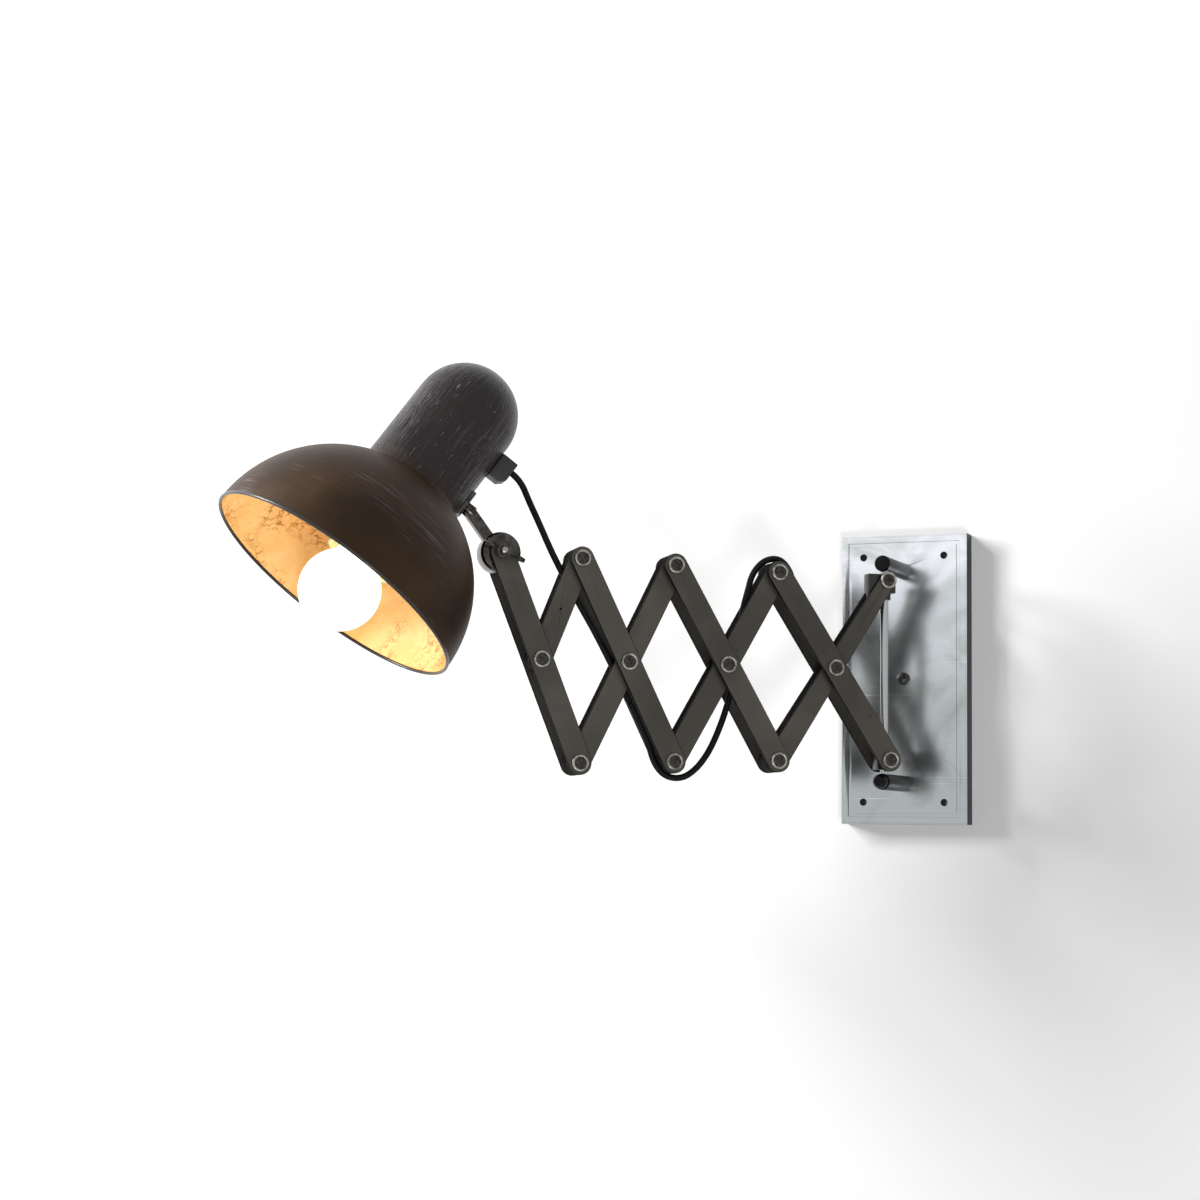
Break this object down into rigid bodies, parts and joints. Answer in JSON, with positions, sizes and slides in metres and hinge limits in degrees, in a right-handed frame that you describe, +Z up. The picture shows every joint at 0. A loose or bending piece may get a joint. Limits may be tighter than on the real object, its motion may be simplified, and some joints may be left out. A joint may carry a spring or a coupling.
{
  "type": "accordion wall lamp",
  "caption": "Wall lamp with a metal bowl shade on a scissor-lattice accordion arm that swivels and slides on an upright rod held off a rectangular back plate.",
  "frame": {"origin": "centre of the four wall screws, on the back face of the wall plate", "axes": "+X to the right along the wall, +Y into the wall, +Z up"},
  "size_m": [0.4664, 0.4145, 0.3199],
  "materials": {
    "plate_chrome": "polished",
    "strip_steel": "satin",
    "fastener_steel": "satin",
    "dark_steel": "satin",
    "rod_steel": "polished",
    "link_steel": "satin",
    "black_paint": "gloss",
    "shade_paint": "satin",
    "black_plastic": "matte",
    "white_plastic": "matte",
    "cream_plastic": "gloss",
    "cord_rubber": "matte",
    "brass_cap": "polished",
    "bulb_glass": "opal"
  },
  "bodies": {
    "wall": {"wall_plate": "plate_chrome", "plate_screw": "fastener_steel", "upper_post": "black_paint", "lower_post": "black_paint", "rod_screw": "black_paint", "guide_rod": "rod_steel", "rod_collar": "rod_steel", "post_nuts": "fastener_steel", "terminal_block": "white_plastic"},
    "swivel": {"swivel_block": "rod_steel", "swivel_studs": "fastener_steel", "cord_grip": "black_plastic"},
    "inner_1": {"inner_strip_1_front": "strip_steel", "inner_strip_1_rear": "strip_steel", "cord_8": "cord_rubber"},
    "outer_1": {"outer_strip_1_front": "strip_steel", "outer_strip_1_rear": "strip_steel", "pivot_pins_1": "fastener_steel", "pivot_sleeves_1": "dark_steel", "cord_7": "cord_rubber"},
    "slider": {"slider_block": "rod_steel", "slider_studs": "fastener_steel"},
    "inner_2": {"inner_strip_2_front": "strip_steel", "inner_strip_2_rear": "strip_steel", "cord_6": "cord_rubber"},
    "outer_2": {"outer_strip_2_front": "strip_steel", "outer_strip_2_rear": "strip_steel", "pivot_pins_2": "fastener_steel", "pivot_sleeves_2": "dark_steel"},
    "outer_3": {"outer_strip_3_front": "strip_steel", "outer_strip_3_rear": "strip_steel", "pivot_pins_3": "fastener_steel", "pivot_sleeves_3": "dark_steel", "cord_4": "cord_rubber", "cord_5": "cord_rubber"},
    "inner_3": {"inner_strip_3_front": "strip_steel", "inner_strip_3_rear": "strip_steel"},
    "inner_4": {"inner_strip_4_front": "strip_steel", "inner_strip_4_rear": "strip_steel"},
    "outer_4": {"outer_strip_4_front": "strip_steel", "outer_strip_4_rear": "strip_steel", "pivot_pins_4": "fastener_steel", "pivot_sleeves_4": "dark_steel", "head_bolt": "fastener_steel", "friction_washers": "fastener_steel", "cord_3": "cord_rubber"},
    "head_link": {"head_link": "link_steel", "saddle_screw": "fastener_steel", "cord_2": "cord_rubber"},
    "shade": {"shade": "shade_paint", "saddle": "link_steel", "cord_gland": "black_plastic", "lamp_holder": "black_plastic", "holder_skirt": "cream_plastic", "holder_disc": "link_steel", "bulb_cap": "brass_cap", "bulb_glass": "bulb_glass", "cord_1": "cord_rubber"},
    "wing_nut": {"wing_nut": "link_steel"}
  },
  "joints": [
    {"name": "arm_swivel", "type": "hinge", "parent": "wall", "child": "swivel", "pos_m": [0, -0.0688, 0.0691], "axis": [0, 0, 1], "range_deg": [-21, 128]},
    {"name": "arm_extend", "type": "hinge", "parent": "swivel", "child": "inner_1", "pos_m": [0, -0.0688, 0.0691], "axis": [-0.5962, 0.8028, 0], "range_deg": [-0.8, 25], "deforming": ["cord_8"]},
    {"name": "cell_1_cross", "type": "hinge", "parent": "inner_1", "child": "outer_1", "pos_m": [-0.03392, -0.09399, 0.0027], "axis": [-0.5962, 0.8028, 0], "range_deg": [-50.2, 1.8], "deforming": ["cord_7"]},
    {"name": "slider_pivot", "type": "hinge", "parent": "outer_1", "child": "slider", "pos_m": [0, -0.0688, -0.0637], "axis": [-0.5962, 0.8028, 0], "range_deg": [-1, 25.2]},
    {"name": "cell_1_top", "type": "hinge", "parent": "outer_1", "child": "inner_2", "pos_m": [-0.06896, -0.12001, 0.07129], "axis": [-0.5962, 0.8028, 0], "range_deg": [-1.85, 51.9], "deforming": ["cord_6"]},
    {"name": "cell_2_cross", "type": "hinge", "parent": "inner_2", "child": "outer_2", "pos_m": [-0.09993, -0.14302, 0.0027], "axis": [-0.5962, 0.8028, 0], "range_deg": [-53.59, 1.91]},
    {"name": "cell_2_bottom", "type": "hinge", "parent": "inner_2", "child": "outer_3", "pos_m": [-0.13193, -0.16678, -0.06816], "axis": [-0.5962, 0.8028, 0], "range_deg": [-55.92, 1.98], "deforming": ["cord_5"]},
    {"name": "cell_3_cross", "type": "hinge", "parent": "outer_3", "child": "inner_3", "pos_m": [-0.15942, -0.18719, 0.0027], "axis": [-0.5962, 0.8028, 0], "range_deg": [-2.06, 58.24]},
    {"name": "cell_3_top", "type": "hinge", "parent": "outer_3", "child": "inner_4", "pos_m": [-0.18782, -0.20828, 0.07591], "axis": [-0.5962, 0.8028, 0], "range_deg": [-2.16, 61.44], "deforming": ["cord_4"]},
    {"name": "cell_4_cross", "type": "hinge", "parent": "inner_4", "child": "outer_4", "pos_m": [-0.21101, -0.22551, 0.0027], "axis": [-0.5962, 0.8028, 0], "range_deg": [-64.64, 2.26], "deforming": ["cord_3"]},
    {"name": "head_tilt", "type": "hinge", "parent": "outer_4", "child": "head_link", "pos_m": [-0.23498, -0.24331, 0.07833], "axis": [-0.5962, 0.8028, 0], "range_deg": [-25, 60], "deforming": ["cord_2"]},
    {"name": "shade_swivel", "type": "hinge", "parent": "head_link", "child": "shade", "pos_m": [-0.25617, -0.25905, 0.11132], "axis": [0.644, 0.4783, -0.5971], "range_deg": [-20, 20], "deforming": ["cord_1"]},
    {"name": "wing_nut_turn", "type": "hinge", "parent": "outer_4", "child": "wing_nut", "pos_m": [-0.23498, -0.24331, 0.07833], "axis": [-0.5962, 0.8028, 0], "continuous": true}
  ],
  "couplings": [
    {"joint": "cell_1_cross", "follows": "arm_extend", "ratio": -2},
    {"joint": "slider_pivot", "follows": "arm_extend", "ratio": 1},
    {"joint": "cell_1_top", "follows": "arm_extend", "ratio": 2.0678},
    {"joint": "cell_2_cross", "follows": "arm_extend", "ratio": -2.1356},
    {"joint": "cell_2_bottom", "follows": "arm_extend", "ratio": -2.2287},
    {"joint": "cell_3_cross", "follows": "arm_extend", "ratio": 2.3218},
    {"joint": "cell_3_top", "follows": "arm_extend", "ratio": 2.4497},
    {"joint": "cell_4_cross", "follows": "arm_extend", "ratio": -2.5776}
  ]
}
